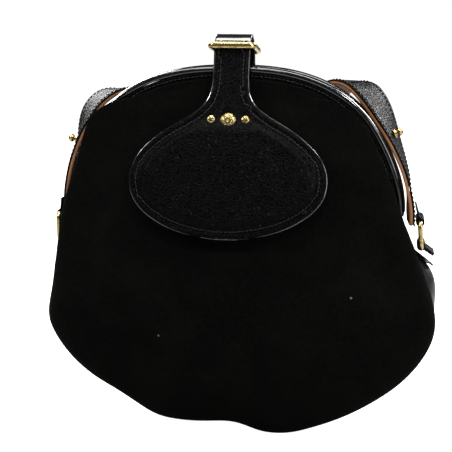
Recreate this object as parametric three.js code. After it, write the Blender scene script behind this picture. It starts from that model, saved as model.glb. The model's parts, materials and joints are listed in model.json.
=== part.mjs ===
// A soft suede frame bag with a padded closure tab: millimetres, +Z up, front towards -Y, resting on z = 0.
import * as THREE from "three";
import { mergeVertices } from "three/addons/utils/BufferGeometryUtils.js";

const GAP = 0.3;
const SUEDE = 2.0;
const PARED = 1.2;
const SMOOTH_LEATHER = 1.8;

// The two arched frames: half a superellipse standing on the hinge level.
const ARCH_HALF = 130;
const ARCH_RISE = 116;
const ARCH_POWER = 2.45;
const HINGE_Z = 171;
const FRAME_FRONT = 12;
const FRAME_BACK = 3;
const RIM_DEPTH = 4.6;
const BAND_WIDTH = 7.2;
const BAND_THICK = 2.4;
const ARCH_STEPS = 40;
// How far the legs of the frames spring outwards, growing from above down to full, as shares of the rise.
const SPLAY = { right: 6, left: 0, above: 0.56, full: 0.04 };

// The closure tab.
const TAB_BACKING = 1.5;
const TAB_FACE = 1.9;
const TAB_EDGE_STEP = 1.7;
const TAB_PAD = 3.4;
const PLATE_HALF = 78;
const PLATE_MID = 48;
const TAB_LENGTH = 262;
const NECK_HALF = 14.2;

// The shoulder strap: black outer leather over a natural leather lining.
const STRAP_WIDTH = 38;
const STRAP_OUTER = 1.3;
const STRAP_LINING = 2.6;

const RING_BAR = 3.4;
const SIDE_RING_WIDE = 45;
const SIDE_RING_TALL = 23;
const SIDE_RING_Z = 157.5;
const SIDE_RING_TURN = 0.06;
// The bag leans a little to the right, so the left ring hangs closer in and straighter.
const RIGHT_RING = { x: 148.2, lean: 0.06, chape: -0.6, end: 1.85 };
const LEFT_RING = { x: 138.2, lean: -0.02, chape: -1.2, end: 1.63 };

// The middle that every ring of a panel shrinks to.
const PANEL_MID = { x: 4, z: 150 };

// The fullest line of the front panel, clockwise from the top as seen from the front.
// tuck is how far the sewn edge lies inside that line, and seam is how deep it sits.
const FRONT_EDGE = [
  { x: 0, z: 273.4, y: -15, tuck: -6, seam: -12.4 },
  { x: 37, z: 270.4, y: -15, tuck: -6, seam: -12.4 },
  { x: 62, z: 262.8, y: -15.2, tuck: -5, seam: -12.4 },
  { x: 86, z: 259.5, y: -17.6, tuck: 0.5, seam: -12.4 },
  { x: 103, z: 245.5, y: -18, tuck: 1.5, seam: -12.4 },
  { x: 112.5, z: 229, y: -18.2, tuck: 1, seam: -12.4 },
  { x: 123, z: 205.8, y: -18.6, tuck: 3, seam: -12.4 },
  { x: 131.5, z: 183, y: -19, tuck: 7.5, seam: -12.4 },
  { x: 140, z: 160, y: -25, tuck: 9, seam: -13.2 },
  { x: 148.4, z: 140, y: -28, tuck: 8, seam: -17 },
  { x: 156.4, z: 120, y: -28, tuck: 7, seam: -20 },
  { x: 162.4, z: 98, y: -30, tuck: 7, seam: -23 },
  { x: 161.5, z: 78, y: -32, tuck: 7, seam: -25 },
  { x: 149, z: 56, y: -35, tuck: 7, seam: -28 },
  { x: 129, z: 36.5, y: -38, tuck: 7, seam: -30 },
  { x: 97, z: 17, y: -41, tuck: 7, seam: -32 },
  { x: 68, z: 6.2, y: -43, tuck: 7, seam: -33 },
  { x: 50, z: 1, y: -43, tuck: 7, seam: -33 },
  { x: 28, z: 1, y: -43, tuck: 7, seam: -33 },
  { x: 12, z: 7, y: -42, tuck: 5, seam: -33 },
  { x: -3, z: 8.6, y: -42, tuck: 4, seam: -33 },
  { x: -24, z: 7.4, y: -43, tuck: 6, seam: -33 },
  { x: -56, z: 9.6, y: -42, tuck: 7, seam: -32 },
  { x: -79, z: 24.5, y: -40, tuck: 7, seam: -31 },
  { x: -103, z: 36.5, y: -38, tuck: 7, seam: -30 },
  { x: -126, z: 53, y: -36, tuck: 7, seam: -28 },
  { x: -143, z: 75, y: -33, tuck: 7, seam: -25 },
  { x: -147, z: 91, y: -31, tuck: 7, seam: -23 },
  { x: -143.5, z: 110, y: -29, tuck: 7, seam: -20 },
  { x: -139.5, z: 147, y: -28, tuck: 8, seam: -16.5 },
  { x: -134.5, z: 180, y: -23, tuck: 9, seam: -12.4 },
  { x: -125.5, z: 208, y: -19.2, tuck: 6, seam: -12.4 },
  { x: -119.5, z: 230, y: -18.6, tuck: 7, seam: -12.4 },
  { x: -114, z: 246, y: -18.6, tuck: 11, seam: -12.4 },
  { x: -104, z: 254, y: -18.4, tuck: 10, seam: -12.4 },
  { x: -88, z: 260.5, y: -17.8, tuck: 4, seam: -12.4 },
  { x: -62, z: 263, y: -15.2, tuck: -3.5, seam: -12.4 },
  { x: -37, z: 270.6, y: -15, tuck: -6, seam: -12.4 },
];
// Where the hinges fall, counted in rows of the table above.
const RIGHT_HINGE = 7.5;
const LEFT_HINGE = 29.75;

// How far forward the middle of the front would stand at each height.
const FRONT_FILL = [
  { z: 0, y: -52 },
  { z: 30, y: -64 },
  { z: 65, y: -64 },
  { z: 105, y: -58 },
  { z: 150, y: -47 },
  { z: 200, y: -35 },
  { z: 245, y: -23 },
  { z: 285, y: -13 },
];
const BACK_FILL = 0.84;
const BACK_TRIM = 0.96;

// Soft folds: a ridge (rise above 0) or a furrow (below 0) from one end to the other.
const FOLDS = [
  { x0: -88, z0: 104, x1: -76, z1: 22, wide: 9, rise: -5 },
  { x0: -96, z0: 96, x1: -93, z1: 36, wide: 9, rise: 3 },
  { x0: 90, z0: 56, x1: 87, z1: 24, wide: 6, rise: 4 },
  { x0: 88, z0: 80, x1: 98, z1: 30, wide: 7, rise: -3.5 },
  { x0: 84, z0: 200, x1: 136, z1: 108, wide: 13, rise: -6 },
  { x0: 112, z0: 214, x1: 140, z1: 140, wide: 8, rise: 3 },
  { x0: 138, z0: 112, x1: 146, z1: 68, wide: 8, rise: -4 },
  { x0: -104, z0: 232, x1: -116, z1: 150, wide: 10, rise: -3 },
  { x0: 30, z0: 132, x1: 74, z1: 92, wide: 16, rise: -2 },
];

// Half-width of the tab, measured up from the foot of its plate.
const TAB_OUTLINE = [
  { s: 0, half: 9 },
  { s: 2.2, half: 24 },
  { s: 8, half: 44 },
  { s: 17.5, half: 61 },
  { s: 29, half: 72.5 },
  { s: 42, half: 77.6 },
  { s: 55, half: 77.2 },
  { s: 69, half: 71 },
  { s: 81, half: 59 },
  { s: 89.5, half: 47 },
  { s: 96, half: 35.5 },
  { s: 104, half: 24 },
  { s: 114, half: 16.6 },
  { s: 128, half: 14.3 },
  { s: 150, half: NECK_HALF },
  { s: 240, half: NECK_HALF },
  { s: 250, half: 13.2 },
  { s: 257, half: 9.5 },
  { s: 262, half: 3 },
];

// The run of the tab seen from the side: up the front, over the frames, down the back.
const TAB_RUN = [
  { y: -53, z: 156 },
  { y: -42.5, z: 198 },
  { y: -29, z: 245 },
  { y: -17.4, z: 282 },
  { y: -13.4, z: 294 },
  { y: -9.6, z: 304.4 },
  { y: 0, z: 310.2 },
  { y: 9.6, z: 304.4 },
  { y: 13.8, z: 294 },
  { y: 16.2, z: 276 },
  { y: 22.5, z: 258 },
  { y: 31, z: 229 },
];

// The strap from inside a side ring to the middle of its sag behind the bag: one row per station,
// with the middle of the strap and the way its back edge points. The left run is drawn mirrored.
const RIGHT_RUN = [
  { x: 141, y: 0, z: 162.5, wx: -0.1, wy: 1, wz: 0 },
  { x: 140.6, y: 0.5, z: 174, wx: -0.13, wy: 1, wz: 0 },
  { x: 139.4, y: 2, z: 187, wx: -0.08, wy: 1, wz: 0 },
  { x: 135.2, y: 6, z: 206, wx: -0.02, wy: 1, wz: 0 },
  { x: 126.6, y: 11, z: 227, wx: 0.08, wy: 1, wz: 0 },
  { x: 117.9, y: 14, z: 246, wx: 0.3, wy: 0.95, wz: 0 },
  { x: 106.8, y: 17.5, z: 263.5, wx: 0.48, wy: 0.87, wz: -0.05 },
  { x: 94, y: 25, z: 272.5, wx: 0.54, wy: 0.82, wz: -0.1 },
  { x: 79, y: 38, z: 269, wx: 0.54, wy: 0.82, wz: -0.14 },
  { x: 65, y: 52, z: 250, wx: 0.48, wy: 0.85, wz: -0.14 },
  { x: 56, y: 64, z: 226, wx: 0.38, wy: 0.9, wz: -0.1 },
  { x: 51, y: 71, z: 196, wx: 0.22, wy: 0.96, wz: -0.06 },
  { x: 47, y: 74.5, z: 164, wx: 0.1, wy: 1, wz: -0.06 },
  { x: 39, y: 76, z: 136, wx: 0.04, wy: 1, wz: -0.08 },
  { x: 22, y: 76.5, z: 117, wx: 0, wy: 1, wz: -0.1 },
  { x: 0, y: 76.8, z: 110.5, wx: 0, wy: 1, wz: -0.1 },
];
const LEFT_RUN = [
  { x: 130.8, y: 0, z: 162.5, wx: 0, wy: 1, wz: 0 },
  { x: 134, y: 0.5, z: 175, wx: 0, wy: 1, wz: 0 },
  { x: 134.2, y: 2, z: 187, wx: 0, wy: 1, wz: 0 },
  { x: 132.4, y: 6, z: 206, wx: 0.06, wy: 1, wz: 0 },
  { x: 129, y: 11, z: 225, wx: 0.2, wy: 0.97, wz: 0 },
  { x: 125, y: 15.5, z: 241, wx: 0.4, wy: 0.9, wz: -0.02 },
  { x: 117.5, y: 21.5, z: 255, wx: 0.54, wy: 0.83, wz: -0.06 },
  { x: 104, y: 29, z: 263.5, wx: 0.64, wy: 0.76, wz: -0.1 },
  { x: 86, y: 40, z: 260, wx: 0.6, wy: 0.8, wz: -0.14 },
  { x: 69, y: 53, z: 244, wx: 0.5, wy: 0.85, wz: -0.14 },
  { x: 58, y: 64.5, z: 222, wx: 0.38, wy: 0.9, wz: -0.1 },
  { x: 52, y: 71, z: 194, wx: 0.22, wy: 0.96, wz: -0.06 },
  { x: 47.5, y: 74.5, z: 164, wx: 0.1, wy: 1, wz: -0.06 },
  { x: 39, y: 76, z: 136, wx: 0.04, wy: 1, wz: -0.08 },
  { x: 22, y: 76.5, z: 117, wx: 0, wy: 1, wz: -0.1 },
  { x: 0, y: 76.8, z: 110.5, wx: 0, wy: 1, wz: -0.1 },
];
const STRAP_STEPS = 54;
const STRAP_TRIM = 0.008;

// Studs: how far up the tab, how far to each side, and how far along each half of the strap.
const TAB_STUD_AT = 94;
const SIDE_STUD_OFFSET = 13.4;
const STRAP_STUD_AT = { right: 0.285, left: 0.262 };
const TAB_STUD_LIFT = TAB_BACKING + TAB_FACE + 3.2 * GAP;
const CENTRE_STUD = { radius: 6, rise: 2.2 };
const SIDE_STUD = { radius: 3.1, rise: 1.7 };

// The keeper ring stands on the crown of the bag, tipped a little forwards.
const KEEPER = { wide: 38, tall: 38.6, bar: 2.8, height: 5, corner: 6, tilt: -0.2, y: 0.1, z: 300 };
const SIDE_RING_CORNER = 5;

// The leather loops on the bars of the side rings.
const LOOP_OUTER = 3.5;
const LOOP_INNER = 2.2;
const CHAPE = { tail: 12, thick: 2.2, wide: 24 };
const STRAP_END = { tail: 12.5, thick: 1.3, wide: 30 };

// The crackled patch on each side of the gusset.
const PATCH = { top: 156, foot: 131, half: 12.5, thick: 1.6 };

const black = { color: 0x141312, roughness: 0.95 };
const crackled = { color: 0x161514, roughness: 0.5 };
const glossy = { color: 0x0c0c0d, roughness: 0.15 };
const smooth = { color: 0x1a1a1b, roughness: 0.35 };
const natural = { color: 0xb07a48, roughness: 0.7 };
const brass = { color: 0xb9984e, roughness: 0.3, metalness: 1 };

const bag = new THREE.Group();

function addPiece(name, geometry, finish) {
  const mesh = new THREE.Mesh(geometry, new THREE.MeshStandardMaterial(finish));
  mesh.name = name;
  bag.add(mesh);
  return mesh;
}

// ---- curves through tables ----

function catmull(a, b, c, d, f) {
  const f2 = f * f;
  const f3 = f2 * f;
  return 0.5 * (2 * b + (c - a) * f + (2 * a - 5 * b + 4 * c - d) * f2 + (3 * b - a - 3 * c + d) * f3);
}

// A column of a closed table at a row number that need not be whole.
function around(rows, key, at) {
  const n = rows.length;
  const i = Math.floor(at);
  const pick = (k) => rows[(((i + k) % n) + n) % n][key];
  return catmull(pick(-1), pick(0), pick(1), pick(2), at - i);
}

// A column of an open table at a row number that need not be whole.
function through(rows, key, at) {
  const last = rows.length - 1;
  const i = Math.min(Math.floor(at), last - 1);
  const pick = (k) => rows[Math.min(Math.max(i + k, 0), last)][key];
  return catmull(pick(-1), pick(0), pick(1), pick(2), at - i);
}

// A column looked up by the value of another column, with rounded joins.
function lookUp(rows, by, key, value) {
  const last = rows.length - 1;
  const clamped = Math.min(Math.max(value, rows[0][by]), rows[last][by]);
  const found = rows.findIndex((row) => row[by] >= clamped);
  const i = Math.max(found, 1) - 1;
  const f = (clamped - rows[i][by]) / (rows[i + 1][by] - rows[i][by]);
  const slope = (k) => {
    const lo = rows[Math.max(k - 1, 0)];
    const hi = rows[Math.min(k + 1, last)];
    return (hi[key] - lo[key]) / (hi[by] - lo[by]);
  };
  const run = rows[i + 1][by] - rows[i][by];
  const f2 = f * f;
  const f3 = f2 * f;
  const from = (2 * f3 - 3 * f2 + 1) * rows[i][key] + (f3 - 2 * f2 + f) * run * slope(i);
  const to = (3 * f2 - 2 * f3) * rows[i + 1][key] + (f3 - f2) * run * slope(i + 1);
  return from + to;
}

function smoothstep(lo, hi, value) {
  const f = Math.min(Math.max((value - lo) / (hi - lo), 0), 1);
  return f * f * (3 - 2 * f);
}

// ---- closed bodies from loops of points ----

// Joins loops of equal length into one closed body. ends is "caps", "poles" or "joined".
function loft(loops, ends) {
  const points = [];
  const starts = loops.map((loop) => {
    const start = points.length;
    points.push(...loop);
    return start;
  });
  const faces = [];
  const rows = ends === "joined" ? loops.length : loops.length - 1;
  for (let i = 0; i < rows; i++) {
    const next = (i + 1) % loops.length;
    bridge(faces, starts[i], loops[i].length, starts[next], loops[next].length);
  }
  if (ends === "caps") {
    cap(faces, starts[0], loops[0].length, false);
    cap(faces, starts[loops.length - 1], loops[0].length, true);
  }
  return bodyOf(points, faces);
}

function bridge(faces, a, countA, b, countB) {
  const count = Math.max(countA, countB);
  for (let j = 0; j < count; j++) {
    const k = (j + 1) % count;
    if (countA > 1) faces.push([a + j, a + k, b + (countB > 1 ? k : 0)]);
    if (countB > 1) faces.push([a + (countA > 1 ? j : 0), b + k, b + j]);
  }
}

// Closes a loop whose second half runs back along its first.
function cap(faces, start, count, last) {
  for (let j = 0; j < count / 2 - 1; j++) {
    const near = [start + j, start + j + 1];
    const far = [start + count - 1 - j, start + count - 2 - j];
    const pair = [
      [near[0], far[1], near[1]],
      [near[0], far[0], far[1]],
    ];
    pair.forEach((face) => faces.push(last ? [face[0], face[2], face[1]] : face));
  }
}

function bodyOf(points, faces) {
  const inward = faces.reduce((sum, [a, b, c]) => {
    const cross = points[b].clone().cross(points[c]);
    return sum + points[a].dot(cross);
  }, 0) < 0;
  const index = faces.flatMap(([a, b, c]) => (inward ? [a, c, b] : [a, b, c]));
  const geometry = new THREE.BufferGeometry().setFromPoints(points);
  geometry.setIndex(index);
  geometry.computeVertexNormals();
  return geometry;
}

// ---- the suede panels and the gusset ----

function foldAt(x, z) {
  return FOLDS.reduce((sum, fold) => {
    const dx = fold.x1 - fold.x0;
    const dz = fold.z1 - fold.z0;
    const length = Math.hypot(dx, dz);
    const along = ((x - fold.x0) * dx + (z - fold.z0) * dz) / length;
    const across = ((x - fold.x0) * dz - (z - fold.z0) * dx) / length;
    const start = smoothstep(-fold.wide, fold.wide, along);
    const ends = start * smoothstep(-fold.wide, fold.wide, length - along);
    return sum + fold.rise * ends * Math.exp(-((across / fold.wide) ** 2));
  }, 0);
}

// How far the top hem of a panel laps over its frame band.
const HEM_LAP = 2.6;
const PANEL_RINGS = [0.24, 0.45, 0.62, 0.76, 0.865, 0.935, 0.98, 1];
const PANEL_COLUMNS = 57;
// The glued hem starts after this ring, and fades in between these heights.
const HEM_FROM = 5;
const GLUED = { from: 112, to: 136 };

// side is -1 for the front panel and 1 for the back one, which is plainer and a little smaller.
function edgePoint(side, at, ring) {
  const trim = side < 0 ? 1 : BACK_TRIM;
  const x = around(FRONT_EDGE, "x", at) * trim;
  const z = around(FRONT_EDGE, "z", at);
  const y = around(FRONT_EDGE, "y", at) * -side;
  const px = PANEL_MID.x + (x - PANEL_MID.x) * ring;
  const pz = PANEL_MID.z + (z - PANEL_MID.z) * ring;
  const fill = lookUp(FRONT_FILL, "z", "y", pz) * -side * (side < 0 ? 1 : BACK_FILL);
  const round = Math.sqrt(Math.max(1 - ring ** 3, 0));
  const fold = side < 0 ? foldAt(px, pz) * (1 - ring ** 12) : 0;
  return new THREE.Vector3(px, y + (fill - y) * round - fold, Math.max(pz, GAP));
}

// How far from the panel's middle the inner edge of the frame band lies, in the direction given.
function bandReach(direction) {
  const inset = RIM_DEPTH + BAND_WIDTH - HEM_LAP;
  let near = 0;
  let far = 2 * ARCH_HALF;
  for (let i = 0; i < 40; i++) {
    const reach = (near + far) / 2;
    const x = Math.abs(PANEL_MID.x + direction.x * reach) / (ARCH_HALF - inset);
    const z = Math.max(PANEL_MID.z + direction.z * reach - HINGE_Z, 0) / (ARCH_RISE - inset);
    if (x ** ARCH_POWER + z ** ARCH_POWER < 1) near = reach;
    else far = reach;
  }
  return near;
}

// The sewn edge: beside the frame band above the hinges, tucked in from the fullest line below them.
// turn runs from 0 on the fullest line to 1 on the seam.
function seamPoint(side, at, turn) {
  const line = edgePoint(side, at, 1);
  const outward = new THREE.Vector3(line.x - PANEL_MID.x, 0, line.z - PANEL_MID.z);
  const full = outward.length();
  outward.normalize();
  const below = smoothstep(HINGE_Z - 10, HINGE_Z - 28, line.z);
  const sewn = full - around(FRONT_EDGE, "tuck", at);
  const reach = bandReach(outward) * (1 - below) + sewn * below;
  const seam = around(FRONT_EDGE, "seam", at) * -side;
  const shelf = side * (FRAME_FRONT + 2 * GAP + SUEDE);
  const passing = line.y * 0.45 + seam * 0.55;
  const hem = (Math.abs(line.y) > FRAME_FRONT ? shelf : passing) * (1 - below) + passing * below;
  const inside = turn < 0.75 ? (full - reach) * (1 - 0.7 * below) : full - reach;
  const point = line.clone().addScaledVector(outward, turn > 0 ? -inside : 0);
  if (turn > 0) point.y = turn < 0.75 ? hem : seam;
  point.z = Math.max(point.z, GAP);
  return point;
}

function inwardFrom(point, amount) {
  const to = new THREE.Vector3(PANEL_MID.x - point.x, 0, PANEL_MID.z - point.z).normalize();
  return point.clone().addScaledVector(to, amount);
}

function panel(side) {
  const stations = Array.from({ length: PANEL_COLUMNS }, (_, j) => (j * FRONT_EDGE.length) / PANEL_COLUMNS);
  const outer = [[edgePoint(side, 0, 0)]];
  PANEL_RINGS.forEach((ring) => outer.push(stations.map((at) => edgePoint(side, at, ring))));
  outer.push(stations.map((at) => seamPoint(side, at, 0.5)));
  outer.push(stations.map((at) => seamPoint(side, at, 1).add(new THREE.Vector3(0, (side * GAP) / 2, 0))));
  const inner = outer.map((ring, i) => ring.map((point, j) => insidePoint(outer, i, j, side)));
  glueHem(outer, inner);
  return loft([...outer, ...inner.reverse()], "poles");
}

// The inside of the suede lies straight behind the skin and is pared thinner round the edge.
function insidePoint(rings, i, j, side) {
  const point = rings[i][j];
  if (rings[i].length === 1) return point.clone().add(new THREE.Vector3(0, -side * SUEDE, 0));
  const count = rings[i].length;
  const seam = rings.length - 1;
  const hem = seam - 1;
  const edge = seam - 2;
  if (i === seam) return inwardFrom(point, SUEDE);
  if (i === edge) return inwardFrom(point, PARED * 0.75).add(new THREE.Vector3(0, -side * PARED * 0.66, 0));
  const before = rings[i][(j + count - 1) % count];
  const after = rings[i][(j + 1) % count];
  const nearer = rings[i - 1].length === 1 ? rings[i - 1][0] : rings[i - 1][j];
  const farther = rings[i + 1][j];
  const normal = after.clone().sub(before).cross(farther.clone().sub(nearer)).normalize();
  const middle = new THREE.Vector3(PANEL_MID.x, point.y, PANEL_MID.z);
  const facing = i === hem ? -normal.dot(middle.sub(point)) : normal.y * side;
  if (facing < 0) normal.negate();
  const wall = i === hem ? PARED : Math.min(SUEDE, PARED + (edge - i) * (SUEDE - PARED) * 0.5);
  return point.clone().addScaledVector(normal, -wall);
}

// Along the frames the hem is turned in and glued down, so there the inside runs straight to the seam.
function glueHem(outer, inner) {
  const seam = outer.length - 1;
  inner[seam].forEach((foot, j) => {
    const glued = smoothstep(GLUED.from, GLUED.to, outer[seam - 2][j].z);
    const start = inner[HEM_FROM][j].clone();
    for (let i = HEM_FROM + 1; i < seam; i++) {
      const straight = start.clone().lerp(foot, (i - HEM_FROM) / (seam - HEM_FROM));
      inner[i][j].lerp(straight, glued);
    }
  });
}

const GUSSET_ACROSS = 6;
// The gusset stands out a little behind each ring, and more under it.
const SIDE_BULGE = {
  right: { behind: 4, under: 12 },
  left: { behind: 0.5, under: 7 },
};
const BASE_DROP = 17;
// Between these heights the bulge of the sides turns into the drop of the base.
const BASE_ROUND = { from: 8, to: 60 };

function gussetPoint(at, across, lift) {
  const front = seamPoint(-1, at, 1);
  const back = seamPoint(1, at, 1);
  front.y += GAP / 2;
  back.y -= GAP / 2;
  const point = front.clone().lerp(back, across);
  const low = 1 - smoothstep(BASE_ROUND.from, BASE_ROUND.to, point.z);
  const { behind, under } = point.x > 0 ? SIDE_BULGE.right : SIDE_BULGE.left;
  const atRing = smoothstep(HINGE_Z + 4, SIDE_RING_Z + 1.5, point.z);
  const belowRing = smoothstep(PATCH.top - 7, PATCH.foot + 2, point.z);
  const slack = (behind * atRing + under * belowRing) * (1 - 0.45 * smoothstep(128, 98, point.z));
  const bulge = (slack * (1 - low) + BASE_DROP * low) * 4 * across * (1 - across);
  const placed = inwardFrom(point, -bulge);
  placed.z = Math.max(placed.z, 0);
  return inwardFrom(placed, -lift);
}

// A point on the gusset as it is built, between its rows and columns.
function onGusset(at, across, lift) {
  const step = FRONT_EDGE.length / PANEL_COLUMNS;
  const row = Math.floor(at / step);
  const column = Math.min(Math.floor(across * GUSSET_ACROSS), GUSSET_ACROSS - 1);
  const corner = (i, j) => gussetPoint((row + i) * step, (column + j) / GUSSET_ACROSS, lift);
  const f = across * GUSSET_ACROSS - column;
  const first = corner(0, 0).lerp(corner(0, 1), f);
  const second = corner(1, 0).lerp(corner(1, 1), f);
  return first.lerp(second, at / step - row);
}

function gusset() {
  const step = FRONT_EDGE.length / PANEL_COLUMNS;
  const first = Math.ceil(RIGHT_HINGE / step);
  const last = Math.floor(LEFT_HINGE / step);
  const loops = [];
  for (let k = first; k <= last; k++) {
    const across = Array.from({ length: GUSSET_ACROSS + 1 }, (_, j) => j / GUSSET_ACROSS);
    const outer = across.map((v) => gussetPoint(k * step, v, 0));
    const inner = outer.map((point) => inwardFrom(point, SMOOTH_LEATHER));
    loops.push([...outer, ...inner.reverse()]);
  }
  return loft(loops, "caps");
}

// ---- the arched frames ----

// angle runs from -90 degrees at the left hinge to 90 at the right one.
function archPoint(angle, inset, y) {
  const power = 2 / ARCH_POWER;
  const across = Math.sign(angle) * Math.abs(Math.sin(angle)) ** power;
  const up = Math.abs(Math.cos(angle)) ** power;
  const splay = (across > 0 ? SPLAY.right : -SPLAY.left) * smoothstep(SPLAY.above, SPLAY.full, up);
  return new THREE.Vector3((ARCH_HALF - inset) * across + splay, y, HINGE_Z + (ARCH_RISE - inset) * up);
}

function archSweep(section) {
  const loops = [];
  for (let k = 0; k <= ARCH_STEPS; k++) {
    const angle = (Math.PI * k) / ARCH_STEPS - Math.PI / 2;
    loops.push(section.map(({ inset, y }) => archPoint(angle, inset, y)));
  }
  return loft(loops, "caps");
}

// A softly rounded bar: inset runs down from the crown of the frame.
function rimSection(side) {
  const near = FRAME_BACK * side;
  const far = FRAME_FRONT * side;
  const soft = 1.6 * side;
  return [
    { inset: 1.4, y: near },
    { inset: 0.3, y: near + soft },
    { inset: 0, y: (near + far) / 2 },
    { inset: 0.3, y: far - soft },
    { inset: 1.5, y: far },
    { inset: RIM_DEPTH, y: far },
    { inset: RIM_DEPTH, y: (near + far) / 2 },
    { inset: RIM_DEPTH, y: near },
  ];
}

function bandSection(side) {
  const front = (FRAME_FRONT - 0.5) * side;
  const back = front - BAND_THICK * side;
  const top = RIM_DEPTH + GAP;
  return [
    { inset: top, y: back },
    { inset: top, y: front },
    { inset: top + BAND_WIDTH * 0.85, y: front },
    { inset: top + BAND_WIDTH, y: front - 0.7 * side },
    { inset: top + BAND_WIDTH, y: back },
    { inset: top + BAND_WIDTH * 0.5, y: back },
  ];
}

function hingePin(side) {
  const pin = new THREE.CylinderGeometry(2.2, 2.2, 2 * (FRAME_BACK - GAP), 16);
  return pin.translate(side * (ARCH_HALF - 4), 0, HINGE_Z + 3.2);
}

// ---- the closure tab ----

const tabCurve = new THREE.CatmullRomCurve3(
  TAB_RUN.map(({ y, z }) => new THREE.Vector3(0, y, z)),
  false,
  "centripetal",
);

// The tab at a distance along its run, sideways by x and out by lift.
function tabPoint(s, x, lift) {
  const at = Math.min(s / TAB_LENGTH, 1);
  const middle = tabCurve.getPointAt(at);
  const along = tabCurve.getTangentAt(at);
  const out = new THREE.Vector3(0, -along.z, along.y);
  const wrap = 0.0009 * x * x * smoothstep(140, 90, s);
  return middle.addScaledVector(out, lift - wrap).add(new THREE.Vector3(x, 0, 0));
}

function padAt(s, x) {
  const q = Math.hypot(x / PLATE_HALF, (s - PLATE_MID) / (0.94 * PLATE_MID));
  return TAB_PAD * smoothstep(0.9, 0.68, q);
}

function tabSheet(low, high, step, first, last, rows, columns, pad) {
  const loops = [];
  for (let i = 0; i <= rows; i++) {
    const f = i / rows;
    const s = first + (last - first) * (0.35 * f * f + 0.65 * f);
    const half = lookUp(TAB_OUTLINE, "s", "half", s) - step;
    const sides = Array.from({ length: columns + 1 }, (_, j) => {
      const u = (2 * j) / columns - 1;
      return half * Math.sin((u * Math.PI) / 2) * 0.5 + half * u * 0.5;
    });
    const top = sides.map((x) => tabPoint(s, x, high + (pad ? padAt(s, x) : 0)));
    const bottom = sides.map((x) => tabPoint(s, x, low));
    loops.push([...top, ...bottom.reverse()]);
  }
  return loft(loops, "caps");
}

function tabBacking() {
  return tabSheet(0, TAB_BACKING, 0, 0, TAB_LENGTH, 56, 4, false);
}

function tabFace() {
  const low = TAB_BACKING + 1.5 * GAP;
  return tabSheet(low, low + TAB_FACE, TAB_EDGE_STEP, 1.6, 158, 32, 12, true);
}

function stud(radius, height, slot) {
  const profile = [
    new THREE.Vector2(0, 0),
    new THREE.Vector2(radius, 0),
    new THREE.Vector2(radius, height * 0.35),
    new THREE.Vector2(radius * 0.8, height * 0.82),
    new THREE.Vector2(radius * 0.4, height),
    new THREE.Vector2(0, height),
  ];
  const head = new THREE.LatheGeometry(profile, slot ? 20 : 28);
  return head.rotateX(Math.PI / 2);
}

// Turns a geometry that points along +Z so that it points out of the tab.
function ontoTab(geometry, s, x, lift) {
  const foot = tabPoint(s, x, lift);
  const ahead = tabPoint(s + 1, x, lift).sub(foot).normalize();
  const beside = new THREE.Vector3(1, 0, 0);
  const out = beside.clone().cross(ahead).normalize();
  const turn = new THREE.Matrix4().makeBasis(beside, ahead, out);
  return geometry.applyMatrix4(turn).translate(foot.x, foot.y, foot.z);
}

function tabStud({ radius, rise }, flat, s, x) {
  return ontoTab(stud(radius, rise, flat), s, x, TAB_STUD_LIFT);
}

// ---- rings ----

function roundedRectangle(target, wide, tall, corner) {
  const x = wide / 2;
  const y = tall / 2;
  target.moveTo(-x + corner, -y);
  target.lineTo(x - corner, -y);
  target.absarc(x - corner, -y + corner, corner, -Math.PI / 2, 0);
  target.lineTo(x, y - corner);
  target.absarc(x - corner, y - corner, corner, 0, Math.PI / 2);
  target.lineTo(-x + corner, y);
  target.absarc(-x + corner, y - corner, corner, Math.PI / 2, Math.PI);
  target.lineTo(-x, -y + corner);
  target.absarc(-x + corner, -y + corner, corner, Math.PI, Math.PI * 1.5);
  return target;
}

// An oblong ring lying in the XY plane, its bar rounded at the edges.
function oblongRing(wide, tall, bar, height, corner) {
  const soft = 0.9;
  const shape = roundedRectangle(new THREE.Shape(), wide - 2 * soft, tall - 2 * soft, corner - soft);
  const inner = Math.max(corner - bar + soft, 1.2);
  const taken = 2 * (bar - soft);
  shape.holes.push(roundedRectangle(new THREE.Path(), wide - taken, tall - taken, inner));
  const ring = new THREE.ExtrudeGeometry(shape, {
    depth: height - 2 * soft,
    bevelEnabled: true,
    bevelThickness: soft,
    bevelSize: soft,
    bevelSegments: 1,
    curveSegments: 3,
  });
  return closed(ring.translate(0, 0, soft - height / 2));
}

function closed(geometry) {
  geometry.deleteAttribute("normal");
  geometry.deleteAttribute("uv");
  const merged = mergeVertices(geometry, 1e-3);
  merged.computeVertexNormals();
  return merged;
}

function keeperRing() {
  const ring = oblongRing(KEEPER.wide, KEEPER.tall, KEEPER.bar, KEEPER.height, KEEPER.corner);
  return ring.rotateX(KEEPER.tilt).translate(0, KEEPER.y, KEEPER.z);
}

function sideRing(side) {
  const ring = oblongRing(SIDE_RING_WIDE, SIDE_RING_TALL, RING_BAR, RING_BAR, SIDE_RING_CORNER);
  ring.rotateX(Math.PI / 2).rotateZ(Math.PI / 2);
  const { x, lean } = side < 0 ? LEFT_RING : RIGHT_RING;
  ring.rotateY(-lean).rotateZ(SIDE_RING_TURN);
  ring.translate(x, 0, SIDE_RING_Z);
  return side < 0 ? mirrored(ring) : ring;
}

function mirrored(geometry) {
  geometry.scale(-1, 1, 1);
  const index = geometry.index.array;
  for (let i = 0; i < index.length; i += 3) {
    const kept = index[i];
    index[i] = index[i + 1];
    index[i + 1] = kept;
  }
  geometry.computeVertexNormals();
  return geometry;
}

// ---- the strap ----

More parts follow.
